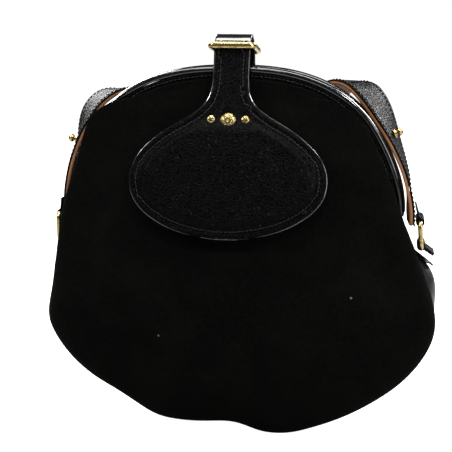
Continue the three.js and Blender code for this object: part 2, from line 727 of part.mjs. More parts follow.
// t runs from 0 at the right ring to 1 at the left ring.
function strapFrame(t) {
  const side = t < 0.5 ? 1 : -1;
  const run = side > 0 ? RIGHT_RUN : LEFT_RUN;
  const last = run.length - 1;
  const at = (1 - Math.abs(2 * t - 1)) * last;
  const read = (row, x, y, z) => {
    const part = Math.min(Math.max(row, 0), last);
    return new THREE.Vector3(through(run, x, part), through(run, y, part), through(run, z, part));
  };
  const middle = read(at, "x", "y", "z");
  const along = read(at + 0.05, "x", "y", "z").sub(read(at - 0.05, "x", "y", "z")).normalize();
  const across = read(at, "wx", "wy", "wz");
  across.addScaledVector(along, -across.dot(along)).normalize();
  const out = across.clone().cross(along).normalize();
  [middle, across, out].forEach((v) => {
    v.x *= side;
  });
  return { middle, across, out };
}

// The two layers are drawn in opposite order, so their facing surfaces stay parallel where the strap twists.
function strapLayer(low, high, under) {
  const loops = [];
  for (let k = 0; k <= STRAP_STEPS; k++) {
    const t = STRAP_TRIM + ((1 - 2 * STRAP_TRIM) * k) / STRAP_STEPS;
    const { middle, across, out } = strapFrame(t);
    const place = (u, lift) => {
      const spot = middle.clone().addScaledVector(across, (u * STRAP_WIDTH) / 2);
      return spot.addScaledVector(out, lift);
    };
    const edges = [-1, 0, 1];
    const top = edges.map((u) => place(u, high));
    const bottom = edges.map((u) => place(u, low));
    loops.push(under ? [...bottom, ...top.reverse()] : [...top, ...bottom.reverse()]);
  }
  return loft(loops, "caps");
}

// A Sam Browne stud: a flange on the strap, a waist and a ball.
function ballStud(side) {
  const t = (side > 0 ? STRAP_STUD_AT.right : STRAP_STUD_AT.left) / 2;
  const { middle, across, out } = strapFrame(side > 0 ? t : 1 - t);
  const profile = [
    new THREE.Vector2(0, 0),
    new THREE.Vector2(3.7, 0),
    new THREE.Vector2(3.5, 0.7),
    new THREE.Vector2(1.7, 1.1),
    new THREE.Vector2(1.7, 1.8),
    new THREE.Vector2(3.1, 2.9),
    new THREE.Vector2(3.5, 4.4),
    new THREE.Vector2(2.8, 6),
    new THREE.Vector2(0, 7),
  ];
  const ball = new THREE.LatheGeometry(profile, 20).rotateX(Math.PI / 2);
  const beside = out.clone().cross(across).normalize();
  const turn = new THREE.Matrix4().makeBasis(across, beside, out);
  const foot = middle.addScaledVector(out, STRAP_OUTER + 3 * GAP);
  return ball.applyMatrix4(turn).translate(foot.x, foot.y, foot.z);
}

// The crackled patch that backs the ring: square at the top, round at the foot.
function gussetPatch(side) {
  const loops = [];
  const rows = 12;
  for (let i = 0; i <= rows; i++) {
    const f = Math.sin(((i / rows) * Math.PI) / 2);
    const z = PATCH.top + (PATCH.foot - PATCH.top) * f;
    const at = stationAt(side, z);
    const left = (z - PATCH.foot) / PATCH.half;
    const half = PATCH.half * Math.sqrt(Math.max(1 - (1 - Math.min(left, 1)) ** 2, 0.04));
    const wide = onGusset(at, 1, 0).y - onGusset(at, 0, 0).y;
    const spots = [-1, -0.5, 0, 0.5, 1].map((u) => 0.5 + (u * Math.min(half, wide * 0.38)) / wide);
    const low = spots.map((v) => onGusset(at, v, 3 * GAP));
    const high = spots.map((v) => onGusset(at, v, 3 * GAP + PATCH.thick));
    loops.push([...high, ...low.reverse()]);
  }
  return loft(loops, "caps");
}

// The row number at which the gusset's middle reaches a height, on either side.
function stationAt(side, z) {
  let upper = side > 0 ? RIGHT_HINGE - 1 : LEFT_HINGE + 1;
  let lower = side > 0 ? RIGHT_HINGE + 4 : LEFT_HINGE - 4;
  for (let i = 0; i < 30; i++) {
    const middle = (upper + lower) / 2;
    if (onGusset(middle, 0.5, 0).z > z) upper = middle;
    else lower = middle;
  }
  return upper;
}

// A leather loop round a bar of a side ring, with a tail: end is 1 for the upper bar and -1 for the lower.
function barLoop(side, end, tailAngle, { tail, thick, wide }) {
  const hang = side < 0 ? LEFT_RING : RIGHT_RING;
  const reach = (end * (SIDE_RING_TALL - RING_BAR)) / 2;
  const shape = new THREE.Shape();
  const half = Math.asin(thick / 2 / LOOP_OUTER);
  shape.absarc(0, 0, LOOP_OUTER, half, Math.PI * 2 - half, false);
  shape.lineTo(tail, -thick / 2);
  shape.lineTo(tail, thick / 2);
  shape.closePath();
  const hole = new THREE.Path();
  hole.absarc(0, 0, LOOP_INNER, 0, Math.PI * 2, true);
  shape.holes.push(hole);
  const loop = new THREE.ExtrudeGeometry(shape, { depth: wide, bevelEnabled: false, curveSegments: 9 });
  loop.translate(0, 0, -wide / 2).rotateX(Math.PI / 2).rotateY(-tailAngle);
  loop.translate(-reach * Math.sin(hang.lean), 0, SIDE_RING_Z + reach * Math.cos(hang.lean));
  const placed = closed(loop.rotateZ(SIDE_RING_TURN).translate(hang.x, 0, 0));
  return side < 0 ? mirrored(placed) : placed;
}

function ringChape(side) {
  return barLoop(side, -1, (side < 0 ? LEFT_RING : RIGHT_RING).chape, CHAPE);
}

function strapEnd(side) {
  return barLoop(side, 1, (side < 0 ? LEFT_RING : RIGHT_RING).end, STRAP_END);
}

addPiece("front_panel", panel(-1), black);
addPiece("back_panel", panel(1), black);
addPiece("gusset", gusset(), smooth);
addPiece("front_rim", archSweep(rimSection(-1)), glossy);
addPiece("back_rim", archSweep(rimSection(1)), glossy);
addPiece("front_frame_band", archSweep(bandSection(-1)), crackled);
addPiece("back_frame_band", archSweep(bandSection(1)), crackled);
addPiece("hinge_pin_left", hingePin(-1), brass);
addPiece("hinge_pin_right", hingePin(1), brass);
addPiece("tab_backing", tabBacking(), glossy);
addPiece("tab_face", tabFace(), crackled);
addPiece("tab_ring", keeperRing(), brass);
addPiece("side_ring_left", sideRing(-1), brass);
addPiece("side_ring_right", sideRing(1), brass);
addPiece("strap_outer", strapLayer(GAP / 2, GAP / 2 + STRAP_OUTER, false), crackled);
addPiece("strap_lining", strapLayer(-GAP / 2 - STRAP_LINING, -GAP / 2, true), natural);
addPiece("tab_stud_center", tabStud(CENTRE_STUD, false, TAB_STUD_AT, 0), brass);
addPiece("tab_stud_left", tabStud(SIDE_STUD, true, TAB_STUD_AT + 1, -SIDE_STUD_OFFSET), brass);
addPiece("tab_stud_right", tabStud(SIDE_STUD, true, TAB_STUD_AT + 1, SIDE_STUD_OFFSET), brass);
for (const [name, side] of [["right", 1], ["left", -1]]) {
  addPiece(`ball_stud_${name}`, ballStud(side), brass);
  addPiece(`gusset_patch_${name}`, gussetPatch(side), crackled);
  addPiece(`ring_chape_${name}`, ringChape(side), crackled);
  addPiece(`strap_end_${name}`, strapEnd(side), crackled);
}

export default bag;
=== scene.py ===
import json
import math

import bmesh
import bpy
from mathutils import Matrix, Vector, noise
from mathutils.bvhtree import BVHTree


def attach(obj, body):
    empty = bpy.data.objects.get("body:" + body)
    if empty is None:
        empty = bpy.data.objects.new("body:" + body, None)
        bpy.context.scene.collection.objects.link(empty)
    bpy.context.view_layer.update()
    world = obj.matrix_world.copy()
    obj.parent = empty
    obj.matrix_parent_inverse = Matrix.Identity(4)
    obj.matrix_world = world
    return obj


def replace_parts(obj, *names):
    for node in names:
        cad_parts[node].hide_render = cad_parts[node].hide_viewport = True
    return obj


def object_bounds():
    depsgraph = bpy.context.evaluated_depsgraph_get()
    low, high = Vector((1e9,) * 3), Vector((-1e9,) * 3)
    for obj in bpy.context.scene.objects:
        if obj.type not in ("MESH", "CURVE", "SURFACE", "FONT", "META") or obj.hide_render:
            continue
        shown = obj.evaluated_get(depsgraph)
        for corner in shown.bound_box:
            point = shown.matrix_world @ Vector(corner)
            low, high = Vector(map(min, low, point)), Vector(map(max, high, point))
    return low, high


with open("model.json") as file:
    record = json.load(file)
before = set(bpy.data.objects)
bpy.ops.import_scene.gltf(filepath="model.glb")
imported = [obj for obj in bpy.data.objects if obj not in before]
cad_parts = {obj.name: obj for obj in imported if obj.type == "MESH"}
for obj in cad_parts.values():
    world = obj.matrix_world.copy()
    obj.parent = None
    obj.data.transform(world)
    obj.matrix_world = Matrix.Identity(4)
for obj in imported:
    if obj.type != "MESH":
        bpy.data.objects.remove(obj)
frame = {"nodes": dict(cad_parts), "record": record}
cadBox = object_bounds()
scene = bpy.context.scene
print("frame loaded with", len(frame["nodes"]), "nodes")
millimetre = 0.001

# Camera, light and floor

cameraLook = {"azimuth": 9.0, "elevation": 10.0, "distance": 1.3, "lens": 129.0, "aim": (-0.0069, 0.0, 0.1577)}


def makeCamera(look):
    turn, tilt = math.radians(look["azimuth"]), math.radians(look["elevation"])
    back = Vector((math.sin(turn) * math.cos(tilt), -math.cos(turn) * math.cos(tilt), math.sin(tilt)))
    data = bpy.data.cameras.new("studioCamera")
    data.lens = look["lens"]
    camera = bpy.data.objects.new("studioCamera", data)
    camera.location = Vector(look["aim"]) + back * look["distance"]
    camera.rotation_mode = "QUATERNION"
    camera.rotation_quaternion = (-back).to_track_quat("-Z", "Y")
    scene.collection.objects.link(camera)
    scene.camera = camera


makeCamera(cameraLook)
scene.view_settings.view_transform = "Standard"

# Each row is a softbox: where it stands, where it points, its width and height in metres and its power in watts.
softboxes = {
    "overhead": {"at": (0.0, 0.0, 1.5), "to": (0, 0, 0.2), "size": (1.3, 0.5), "power": 26},
    "leftFront": {"at": (-1.3, -0.6, 1.2), "to": (0, 0, 0.2), "size": (0.25, 0.25), "power": 16},
    "topFront": {"at": (-0.25, -1.0, 1.6), "to": (0, 0, 0.2), "size": (0.5, 0.25), "power": 6},
    "rightFront": {"at": (0.95, -0.9, 1.45), "to": (0, 0, 0.2), "size": (0.25, 0.25), "power": 14},
    "rightSide": {"at": (1.5, -0.6, 0.6), "to": (0.1, 0, 0.12), "size": (0.6, 1.1), "power": 16},
    "rearRight": {"at": (0.9, 1.2, 0.9), "to": (0.05, 0, 0.25), "size": (0.7, 0.7), "power": 26},
    "rearLeft": {"at": (-0.9, 1.2, 0.9), "to": (-0.05, 0, 0.25), "size": (0.7, 0.7), "power": 24},
}


def makeSoftbox(name, look):
    data = bpy.data.lights.new(name, "AREA")
    data.shape = "RECTANGLE"
    data.size, data.size_y = look["size"]
    data.energy = look["power"]
    lamp = bpy.data.objects.new(name, data)
    lamp.location = look["at"]
    lamp.rotation_mode = "QUATERNION"
    lamp.rotation_quaternion = (Vector(look["to"]) - Vector(look["at"])).to_track_quat("-Z", "Y")
    scene.collection.objects.link(lamp)


for boxName, boxLook in softboxes.items():
    makeSoftbox(boxName, boxLook)
print("camera and softboxes placed")

# Shader and geometry nodes, written as expressions


class Wire:
    # one output of a node; arithmetic on it adds Math nodes
    def __init__(self, tree, socket):
        self.tree, self.socket = tree, socket

    def maths(self, operation, first, second):
        return self.tree.add("ShaderNodeMath", {"operation": operation}, {0: first, 1: second})["Value"]

    def __add__(self, other):
        return self.maths("ADD", self, other)

    __radd__ = __add__

    def __sub__(self, other):
        return self.maths("SUBTRACT", self, other)

    def __rsub__(self, other):
        return self.maths("SUBTRACT", other, self)

    def __mul__(self, other):
        return self.maths("MULTIPLY", self, other)

    __rmul__ = __mul__

    def __lt__(self, other):
        return self.maths("LESS_THAN", self, other)

    def __gt__(self, other):
        return self.maths("GREATER_THAN", self, other)


class Added:
    # a node that was added, read as added["Output name"]
    def __init__(self, tree, node):
        self.tree, self.node = tree, node

    def __getitem__(self, name):
        found = [s for s in self.node.outputs if s.name == name and s.enabled]
        return Wire(self.tree, found[0])


class Tree:
    def __init__(self, nodeTree):
        self.nodes, self.links = nodeTree.nodes, nodeTree.links

    def add(self, kind, settings=None, inputs=None):
        node = self.nodes.new(kind)
        for name, value in (settings or {}).items():
            setattr(node, name, value)
        for name, value in (inputs or {}).items():
            self.feed(node, name, value)
        return Added(self, node)

    def feed(self, node, name, value):
        if isinstance(name, int):
            socket = node.inputs[name]
        else:
            socket = [s for s in node.inputs if s.name == name and s.enabled][0]
        if isinstance(value, Wire):
            self.links.new(value.socket, socket)
        else:
            socket.default_value = value

    def mixColour(self, factor, low, high):
        inputs = {"Factor": factor, "A": low, "B": high}
        return self.add("ShaderNodeMix", {"data_type": "RGBA"}, inputs)["Result"]

    def ramp(self, value, low, high):
        # 0 below low, 1 above high, eased between
        inputs = {"Value": value, "From Min": low, "From Max": high}
        return self.add("ShaderNodeMapRange", {"interpolation_type": "SMOOTHSTEP"}, inputs)["Result"]

    def cells(self, place, scale, feature="F1", output="Distance"):
        inputs = {"Vector": place, "Scale": scale}
        return self.add("ShaderNodeTexVoronoi", {"feature": feature}, inputs)[output]

    def cellTone(self, place, scale):
        # one random value for each cell
        return self.add("ShaderNodeSeparateColor", {}, {"Color": self.cells(place, scale, output="Color")})["Red"]

    def cloud(self, place, scale, detail=2.0, rough=0.5, warp=0.0):
        inputs = {"Vector": place, "Scale": scale, "Detail": detail, "Roughness": rough, "Distortion": warp}
        return self.add("ShaderNodeTexNoise", {}, inputs)["Fac"]

    def bump(self, height, deep, strength=1.0, over=None):
        inputs = {"Height": height, "Distance": deep, "Strength": strength}
        if over is not None:
            inputs["Normal"] = over
        return self.add("ShaderNodeBump", {}, inputs)["Normal"]


class Finish(Tree):
    # a material with one Principled shader; constants are set on the shader's own sockets
    def __init__(self, name, **constants):
        self.material = bpy.data.materials.new(name)
        self.material.use_nodes = True
        super().__init__(self.material.node_tree)
        self.nodes.clear()
        self.shader = self.add("ShaderNodeBsdfPrincipled", {}, constants)
        self.add("ShaderNodeOutputMaterial", {}, {"Surface": self.shader["BSDF"]})
        self.place = self.add("ShaderNodeTexCoord")["Object"]

    def paint(self, **wires):
        names = {"colour": "Base Color", "rough": "Roughness", "normal": "Normal"}
        for name, value in wires.items():
            self.feed(self.shader.node, names[name], value)
        return self.material


suedeLook = {
    "deep": (0.0005, 0.0006, 0.0005, 1), "lit": (0.0030, 0.0031, 0.0027, 1), "lint": (0.09, 0.10, 0.10, 1),
    "patch": 30, "brushed": 430, "fibre": 1500, "fibreDeep": 0.00030, "napDeep": 0.0010,
    "lintEvery": 60, "lintSize": 0.05, "lintShare": 0.90,
}


def makeSuede(look):
    f = Finish("blackSuede", **{"Roughness": 0.95, "Specular IOR Level": 0.02, "Sheen Weight": 0.006,
                                "Sheen Roughness": 0.45, "Sheen Tint": (0.75, 0.72, 0.68, 1)})
    patches = f.ramp(f.cloud(f.place, look["patch"], 3, 0.55, 0.6), 0.32, 0.70)
    brushed = f.ramp(f.cloud(f.place, look["brushed"], 2, 0.6), 0.25, 0.75)
    fibre = f.cloud(f.place, look["fibre"], 2, 0.7)
    body = f.mixColour(patches * 0.28 + brushed * 0.42 + fibre * 0.3, look["deep"], look["lit"])
    speck = f.cells(f.place, look["lintEvery"]) < look["lintSize"]
    chosen = f.cellTone(f.place, look["lintEvery"])
    colour = f.mixColour(speck * (chosen > look["lintShare"]), body, look["lint"])
    nap = f.bump(f.cloud(f.place, look["brushed"] * 0.5, 3, 0.6), look["napDeep"], 0.5)
    return f.paint(colour=colour, normal=f.bump(fibre, look["fibreDeep"], 0.8, nap))


crackleLook = {
    "black": (0.0003, 0.0004, 0.0004, 1), "worn": (0.0012, 0.0013, 0.0012, 1),
    # the light fleck colour is a painted glint, standing in for sparkle highlights on a few flakes
    "shine": 0.035, "glint": 0.70, "fleck": (0.012, 0.012, 0.011, 1), "fleckShare": 0.98,
    "crack": 430, "flake": 820, "fold": 130, "crackDeep": 0.00025, "flakeDeep": 0.00030, "foldDeep": 0.0007,
    "bend": 330.0, "bendBy": (0.0016, 0.0016, 0.0016),
}


def makeCrackle(look):
    f = Finish("crackledLeather", **{"Specular IOR Level": look["shine"]})
    bent = f.add("ShaderNodeVectorMath", {"operation": "MULTIPLY_ADD"}, {
        0: f.add("ShaderNodeTexNoise", {}, {"Vector": f.place, "Scale": look["bend"], "Detail": 2.0})["Color"],
        1: look["bendBy"], 2: f.place})["Vector"]
    crack = f.ramp(f.cells(bent, look["crack"], "DISTANCE_TO_EDGE"), 0.0, 0.16)
    flake = f.cells(bent, look["flake"])
    fold = f.cloud(f.place, look["fold"], 4, 0.62, 0.8)
    colour = f.mixColour(f.ramp(fold * 0.7 + flake * 0.3, 0.35, 0.75), look["black"], look["worn"])
    tone = f.cellTone(bent, look["flake"])
    rough = 0.36 + 0.16 * (1 - crack) - 0.20 * (tone > look["glint"])
    relief = f.bump(fold, look["foldDeep"], 0.3)
    relief = f.bump(crack, look["crackDeep"], 0.75, relief)
    # painted glints: a light colour on a few random flakes away from the cracks stands in for sparkle highlights
    colour = f.mixColour((tone > look["fleckShare"]) * crack, colour, look["fleck"])
    return f.paint(colour=colour, rough=rough, normal=f.bump(flake, look["flakeDeep"], 0.6, relief))


smoothLook = {"black": (0.0016, 0.0016, 0.0017, 1), "handled": (0.0050, 0.0050, 0.0050, 1),
              "pores": 1400, "creases": 210, "poreDeep": 0.00010, "creaseDeep": 0.00045,
              "gloss": 0.26, "patches": 34}


def makeSmooth(look):
    f = Finish("smoothLeather", **{"Specular IOR Level": 0.4, "Coat Weight": 0.2, "Coat Roughness": 0.25})
    pores = f.cells(f.place, look["pores"])
    creases = f.cloud(f.place, look["creases"], 4, 0.6, 0.5)
    colour = f.mixColour(f.ramp(creases, 0.3, 0.7), look["black"], look["handled"])
    rough = look["gloss"] + 0.18 * f.ramp(f.cloud(f.place, look["patches"], 3), 0.3, 0.7) + 0.08 * pores
    relief = f.bump(creases, look["creaseDeep"], 0.35)
    return f.paint(colour=colour, rough=rough, normal=f.bump(pores, look["poreDeep"], 0.5, relief))


edgeLook = {"black": (0.0030, 0.0030, 0.0031, 1), "dusty": (0.0085, 0.0085, 0.0080, 1),
            "ripple": 90, "dust": 420, "deep": 0.0006}


def makePaintedEdge(look):
    f = Finish("paintedEdge", **{"Specular IOR Level": 0.55, "Coat Weight": 0.6, "Coat Roughness": 0.07})
    ripple = f.cloud(f.place, look["ripple"], 3, 0.5)
    dust = f.ramp(f.cloud(f.place, look["dust"], 3, 0.6), 0.5, 0.8)
    colour = f.mixColour(dust, look["black"], look["dusty"])
    rough = 0.16 + 0.16 * dust
    return f.paint(colour=colour, rough=rough, normal=f.bump(ripple, look["deep"], 0.5))


naturalLook = {"tan": (0.26, 0.115, 0.042, 1), "dark": (0.10, 0.042, 0.017, 1),
               "fibre": 700, "fibreDeep": 0.00025, "stain": 60}


def makeNatural(look):
    f = Finish("naturalLeather", **{"Specular IOR Level": 0.3})
    fibre = f.cloud(f.place, look["fibre"], 4, 0.7)
    stain = f.ramp(f.cloud(f.place, look["stain"], 3, 0.6), 0.3, 0.75)
    colour = f.mixColour(stain * 0.6 + fibre * 0.4, look["tan"], look["dark"])
    rough = 0.62 + 0.25 * fibre
    return f.paint(colour=colour, rough=rough, normal=f.bump(fibre, look["fibreDeep"], 0.7))


brassLook = {"bright": (0.50, 0.39, 0.17, 1), "aged": (0.13, 0.085, 0.032, 1), "patina": 260, "scratch": 1500,
             "stretch": (6.0, 1.0, 1.0), "scratchDeep": 0.00004}


def makeBrass(look):
    f = Finish("antiqueBrass", **{"Metallic": 1.0})
    patina = f.ramp(f.cloud(f.place, look["patina"], 4, 0.65), 0.46, 0.74)
    inputs = {"Vector": f.place, "Scale": look["stretch"]}
    stretched = f.add("ShaderNodeMapping", {"vector_type": "TEXTURE"}, inputs)["Vector"]
    scratch = f.cloud(stretched, look["scratch"], 2, 0.6)
    colour = f.mixColour(patina, look["bright"], look["aged"])
    rough = 0.20 + 0.22 * patina + 0.10 * scratch
    return f.paint(colour=colour, rough=rough, normal=f.bump(scratch, look["scratchDeep"], 0.6))


threadLook = {"black": (0.0060, 0.0060, 0.0060, 1), "waxed": (0.008, 0.008, 0.008, 1),
              "ply": 2600, "plyDeep": 0.00012, "wax": 900}


def makeThread(look):
    f = Finish("waxedThread", **{"Specular IOR Level": 0.22})
    ply = f.cloud(f.place, look["ply"], 2, 0.6)
    wax = f.ramp(f.cloud(f.place, look["wax"], 2), 0.4, 0.7)
    colour = f.mixColour(wax, look["black"], look["waxed"])
    return f.paint(colour=colour, rough=0.34 + 0.2 * ply, normal=f.bump(ply, look["plyDeep"], 0.8))


finishes = {
    "suede": makeSuede(suedeLook),
    "crackled_leather": makeCrackle(crackleLook),
    "smooth_leather": makeSmooth(smoothLook),
    "painted_edge": makePaintedEdge(edgeLook),
    "natural_leather": makeNatural(naturalLook),
    "brass": makeBrass(brassLook),
}
thread = makeThread(threadLook)
print("finishes made")

# Floor and world: white to the camera, and much dimmer in what they cast on the bag

floorLook = {"radius": 14.0, "segments": 96, "drop": 0.0004, "grain": 9,
             "pale": (0.50, 0.50, 0.50, 1), "paler": (0.54, 0.54, 0.54, 1), "cast": (0.06, 0.06, 0.06, 1),
             "white": (1, 1, 1, 1), "glow": 1.0, "sky": 1.0, "room": 0.05}


def makeFloor(look):
    f = Finish("paleFloor", **{"Roughness": 0.9, "Specular IOR Level": 0.1, "Emission Strength": look["glow"]})
    seen = f.add("ShaderNodeLightPath")["Is Camera Ray"]
    f.feed(f.shader.node, "Emission Color", f.mixColour(seen, look["cast"], look["white"]))
    paint = f.mixColour(f.cloud(f.place, look["grain"], 2), look["pale"], look["paler"])
    b = bmesh.new()
    bmesh.ops.create_circle(b, cap_ends=True, segments=look["segments"], radius=look["radius"])
    mesh = bpy.data.meshes.new("floor")
    b.to_mesh(mesh)
    b.free()
    mesh.transform(Matrix.Translation((0, 0, cadBox[0].z - look["drop"])))
    mesh.materials.append(f.paint(colour=paint))
    floor = bpy.data.objects.new("floor", mesh)
    scene.collection.objects.link(floor)
    world = bpy.data.worlds.new("studio")
    scene.world = world
    world.use_nodes = True
    world.node_tree.nodes.clear()
    w = Tree(world.node_tree)
    room, sky = (look["room"],) * 3 + (1,), (look["sky"],) * 3 + (1,)
    shade = w.mixColour(w.add("ShaderNodeLightPath")["Is Camera Ray"], room, sky)
    back = w.add("ShaderNodeBackground", {}, {"Color": shade, "Strength": 1.0})["Background"]
    w.add("ShaderNodeOutputWorld", {}, {"Surface": back})


makeFloor(floorLook)
print("floor and room made")

# Making meshes

weldWithin = 2e-6
joinFlat, joinShape = math.radians(35), math.radians(60)


def newPiece(name, mesh, slotName, material=None):
    piece = bpy.data.objects.new(name, mesh)
    scene.collection.objects.link(piece)
    mesh.materials.clear()
    mesh.materials.append(material or finishes[slotName])
    mesh.polygons.foreach_set("use_smooth", [True] * len(mesh.polygons))
    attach(piece, "root")
    return piece


def flatten(source, name):
    # the evaluated shape of an object as a plain mesh
    bpy.context.view_layer.update()
    shaped = source.evaluated_get(bpy.context.evaluated_depsgraph_get())
    mesh = bpy.data.meshes.new_from_object(shaped)
    mesh.name = name
    return mesh


def refined(nodeName, levels, sharp=38.0, hold=0.85):
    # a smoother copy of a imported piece: quads, held edges, subdivided
    b = bmesh.new()
    b.from_mesh(frame["nodes"][nodeName].data)
    bmesh.ops.remove_doubles(b, verts=b.verts, dist=weldWithin)
    bmesh.ops.join_triangles(b, faces=b.faces, angle_face_threshold=joinFlat, angle_shape_threshold=joinShape)
    crease = b.edges.layers.float.new("crease_edge")
    for edge in b.edges:
        if len(edge.link_faces) == 2 and edge.calc_face_angle() > math.radians(sharp):
            edge[crease] = hold
    rough = bpy.data.meshes.new("rough")
    b.to_mesh(rough)
    b.free()
    carrier = bpy.data.objects.new("carrier", rough)
    scene.collection.objects.link(carrier)
    smoother = carrier.modifiers.new("smoother", "SUBSURF")
    smoother.levels = smoother.render_levels = levels
    mesh = flatten(carrier, nodeName)
    bpy.data.objects.remove(carrier)
    return mesh


def treeOf(nodeNames):
    b = bmesh.new()
    for nodeName in nodeNames:
        b.from_mesh(frame["nodes"][nodeName].data)
    found = BVHTree.FromBMesh(b)
    b.free()
    return found


def eased(low, high, value):
    part = min(max((value - low) / (high - low), 0.0), 1.0)
    return part * part * (3 - 2 * part)


def sculpt(mesh, move):
    # every point goes by what move gives for where it was and the way it faced, and stays above the ground
    spots = [(vertex.co.copy(), vertex.normal.copy()) for vertex in mesh.vertices]
    for vertex, (point, normal) in zip(mesh.vertices, spots):
        vertex.co = point + move(point, normal)
        vertex.co.z = max(vertex.co.z, 0.0)
    mesh.update()


# The soft pouch: two suede panels and the leather gusset between them

panelLook = {
    "front_panel": {"outward": -1, "near": ["gusset", "front_rim", "front_frame_band"], "seed": 3.0},
    "back_panel": {"outward": 1, "near": ["gusset", "back_rim", "back_frame_band"], "seed": 41.0},
    "slump": 0.0022, "slumpPerMetre": 19, "dent": 0.0008, "dentPerMetre": 48, "seedStep": 0.1,
    "calm": (0.0015, 0.022), "levels": 2,
}


def makePanel(nodeName, look):
    side = look[nodeName]
    mesh = refined(nodeName, look["levels"])
    neighbours = treeOf(side["near"])
    low, high = look["calm"]

    def slump(point, normal):
        apart = neighbours.find_nearest(point)[3]
        flat = Vector((point.x, side["seed"] * look["seedStep"], point.z))
        move = look["slump"] * noise.noise(flat * look["slumpPerMetre"])
        move += look["dent"] * noise.noise(flat * look["dentPerMetre"] + Vector((side["seed"], 0, 0)))
        return Vector((0, side["outward"] * move * eased(low, high, apart), 0))

    sculpt(mesh, slump)
    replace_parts(newPiece("suede_" + nodeName, mesh, "suede"), nodeName)


for panelNode in ("front_panel", "back_panel"):
    makePanel(panelNode, panelLook)

gussetLook = {"levels": 2, "pucker": 0.0007, "puckerPerMetre": 60, "squeeze": 0.35, "middle": 0.13,
              "calm": (0.0008, 0.010),
              "near": ["front_panel", "back_panel", "gusset_patch_left", "gusset_patch_right", "ring_chape_left",
                       "ring_chape_right"]}


def makeGusset(look):
    mesh = refined("gusset", look["levels"])
    neighbours = treeOf(look["near"])
    low, high = look["calm"]

    def pucker(point, normal):
        apart = neighbours.find_nearest(point)[3]
        away = Vector((point.x, 0, point.z - look["middle"])).normalized()
        ruck = noise.noise(Vector((point.x, point.y * look["squeeze"], point.z)) * look["puckerPerMetre"])
        return away * look["pucker"] * ruck * eased(low, high, apart)

    sculpt(mesh, pucker)
    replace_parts(newPiece("leather_gusset", mesh, "smooth_leather"), "gusset")


makeGusset(gussetLook)
print("pouch made")

# Frames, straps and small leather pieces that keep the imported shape, with held edges and fine unevenness

plainLook = {
    "rim": {"levels": 2, "sharp": 55, "hold": 0.35, "wave": 0.00010, "slot": "painted_edge"},
    "strip": {"levels": 2, "sharp": 50, "hold": 0.6, "wave": 0.00012, "slot": "crackled_leather"},
    "backing": {"levels": 2, "sharp": 50, "hold": 0.5, "wave": 0.00008, "slot": "painted_edge"},
    "lining": {"levels": 2, "sharp": 50, "hold": 0.6, "wave": 0.00010, "slot": "natural_leather"},
    "loop": {"levels": 1, "sharp": 50, "hold": 0.6, "wave": 0.00005, "slot": "crackled_leather"},
    "patch": {"levels": 2, "sharp": 50, "hold": 0.6, "wave": 0.00008, "slot": "crackled_leather"},
    "ring": {"levels": 1, "sharp": 60, "hold": 0.2, "wave": 0.0, "slot": "brass"},
    "turned": {"levels": 1, "sharp": 50, "hold": 0.7, "wave": 0.0, "slot": "brass"},
    "wavePerMetre": 130,
}
plainKinds = {
    "front_rim": "rim", "back_rim": "rim", "front_frame_band": "strip", "back_frame_band": "strip",
    "tab_backing": "backing", "strap_outer": "strip", "strap_lining": "lining",
    "strap_end_left": "loop", "strap_end_right": "loop", "ring_chape_left": "loop", "ring_chape_right": "loop",
    "gusset_patch_left": "patch", "gusset_patch_right": "patch",
    "side_ring_left": "ring", "side_ring_right": "ring", "tab_ring": "ring",
    "ball_stud_left": "turned", "ball_stud_right": "turned", "hinge_pin_left": "turned", "hinge_pin_right": "turned",
}


def makePlain(nodeName, look):
    mesh = refined(nodeName, look["levels"], look["sharp"], look["hold"])
    if look["wave"]:
        sculpt(mesh, lambda point, normal: normal * look["wave"] * noise.noise(point * plainLook["wavePerMetre"]))
    piece = newPiece("fine_" + nodeName, mesh, look["slot"])
    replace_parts(piece, nodeName)
    return piece


finePieces = {nodeName: makePlain(nodeName, plainLook[kind]) for nodeName, kind in plainKinds.items()}
print("frames, strap and hardware made")

# The closure tab, in mm: its outline by distance along it, and its run from the foot of the plate up over the frames

tabLook = {
    "outline": [(0, 9), (2.2, 24), (8, 44), (17.5, 61), (29, 72.5), (42, 77.6), (55, 77.2), (69, 71),
                (81, 59), (89.5, 47), (96, 35.5), (104, 24), (114, 16.6), (128, 14.3), (150, 14.2),
                (240, 14.2), (250, 13.2), (257, 9.5), (262, 3)],
    "run": [(-53, 156), (-42.5, 198), (-29, 245), (-17.4, 282), (-13.4, 294), (-9.6, 304.4), (0, 310.2), (9.6, 304.4),
            (13.8, 294), (16.2, 276), (22.5, 258), (31, 229)],
    "length": 262, "faceStep": 1.7, "faceFrom": 1.7, "faceTo": 158, "low": 1.98, "high": 3.95,
    "pad": 3.4, "padIn": (6.4, 11.8), "padTop": (100, 84), "groove": 0.75, "grooveIn": 3.6, "grooveWide": 1.0,
    "rows": 150, "columns": 64, "rowCrowd": 0.3, "columnCrowd": 0.35, "leastHalf": 1.0, "runSteps": 40,
    "bow": 0.0009, "bowEnds": (140, 90), "padBow": 0.0016, "edgeRound": 0.9, "edgeEnds": 2,
    "creaseDeep": 0.22, "creasePerMm": 0.11, "creaseIn": (3, 9), "creaseSeed": (7.3, 2.1, 0.4),
    "edgeStep": 0.5, "pastFace": 24, "footEdge": [(0.0, 0.0), (0.0, 3.0), (0.0, 6.0)], "searchWithin": 26,
    "fill": 0.55,
}


